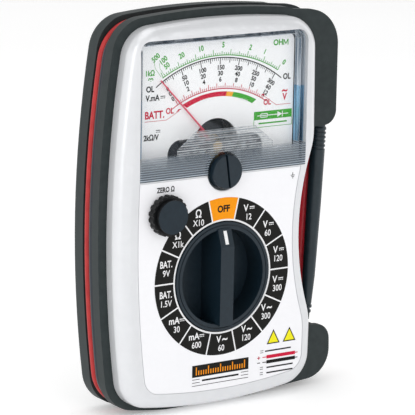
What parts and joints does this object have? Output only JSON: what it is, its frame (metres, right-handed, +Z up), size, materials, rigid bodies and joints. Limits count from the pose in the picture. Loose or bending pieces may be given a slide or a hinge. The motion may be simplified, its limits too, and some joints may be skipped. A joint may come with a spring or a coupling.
{
  "type": "analog multimeter",
  "caption": "Pocket analog multimeter with moving pointer scale, round selector knob, adjusters, rubber boot and two leads wound round it with probes clipped beside it.",
  "frame": {"origin": "on the boot's foot, under the selector's axis, in the middle of the rear flange", "axes": "+Z up along the height, front panel faces -Y, +X towards the probes"},
  "size_m": [0.0975, 0.0296, 0.1377],
  "materials": {
    "bezel_plastic": "satin",
    "case_plastic": "fine texture",
    "boot_rubber": "matte",
    "label_film": "printed film",
    "clear_plastic": "clear",
    "scale_paint": "printed",
    "black_plastic": "matte",
    "white_mark": "paint",
    "steel": "zinc plated",
    "brass": "bright",
    "aluminium": "satin",
    "magnet": "satin",
    "copper_wire": "enamelled",
    "pointer_red": "paint",
    "board": "solder mask",
    "resistor": "lacquer",
    "diode_glass": "glass",
    "fuse_glass": "clear",
    "cell_sleeve": "printed sleeve",
    "red_lead": "satin",
    "black_lead": "satin",
    "red_handle": "satin",
    "black_handle": "satin"
  },
  "bodies": {
    "meter": {"battery_cell": "cell_sleeve", "battery_door": "case_plastic", "black_lead": "black_lead", "black_probe": "black_handle", "black_probe_tip": "steel", "board_screws": "steel", "boot": "boot_rubber", "case_screws": "steel", "cell_contacts": "steel", "circuit_board": "board", "core_brackets": "aluminium", "core_magnet": "magnet", "diodes": "diode_glass", "door_screw": "steel", "frame_screws": "steel", "front_bridge": "magnet", "front_housing": "bezel_plastic", "fuse": "fuse_glass", "fuse_clips": "brass", "hairspring_rear": "brass", "jewel_screws": "brass", "lead_clamp": "black_plastic", "lead_terminals": "brass", "movement_frame": "aluminium", "movement_yoke": "steel", "panel_label": "label_film", "plate_screws": "steel", "rear_bridge": "aluminium", "rear_housing": "case_plastic", "red_lead": "red_lead", "red_probe": "red_handle", "red_probe_tip": "steel", "resistors": "resistor", "scale_plate": "scale_paint", "switch_pads": "copper_wire", "window": "clear_plastic", "zero_ohm_pot": "black_plastic"},
    "selector": {"selector_knob": "black_plastic", "knob_index": "white_mark", "selector_rotor": "white_mark", "detent_leaf": "brass", "wiper_contacts": "brass", "rotor_screw": "steel"},
    "zero_ohm": {"zero_ohm_shaft": "aluminium", "zero_ohm_knob": "black_plastic"},
    "meter_zero": {"meter_zero_screw": "black_plastic"},
    "lever": {"zero_lever": "brass", "hairspring_front": "brass"},
    "coil": {"coil_bobbin": "aluminium", "coil_winding": "copper_wire", "pivot_staffs": "steel", "pointer": "pointer_red", "pointer_weight": "brass"}
  },
  "joints": [
    {"name": "selector_turn", "type": "hinge", "parent": "meter", "child": "selector", "pos_m": [0, -0.02, 0.0465], "axis": [0, 1, 0], "continuous": true},
    {"name": "zero_ohm_turn", "type": "hinge", "parent": "meter", "child": "zero_ohm", "pos_m": [-0.0235, -0.02, 0.0705], "axis": [0, 1, 0], "range_deg": [-135, 135]},
    {"name": "meter_zero_turn", "type": "hinge", "parent": "meter", "child": "meter_zero", "pos_m": [0, -0.02, 0.0831], "axis": [0, 1, 0], "range_deg": [-40, 40]},
    {"name": "zero_lever_swing", "type": "hinge", "parent": "meter", "child": "lever", "pos_m": [0, -0.014, 0.091], "axis": [0, 1, 0], "range_deg": [-5.8, 5.8]},
    {"name": "pointer_swing", "type": "hinge", "parent": "lever", "child": "coil", "pos_m": [0, -0.008, 0.091], "axis": [0, 1, 0], "range_deg": [0, 89], "stiffness_Nm_per_rad": 0.00004, "springref_deg": -14.32}
  ],
  "couplings": [
    {"joint": "zero_lever_swing", "follows": "meter_zero_turn", "ratio": 0.1413}
  ]
}
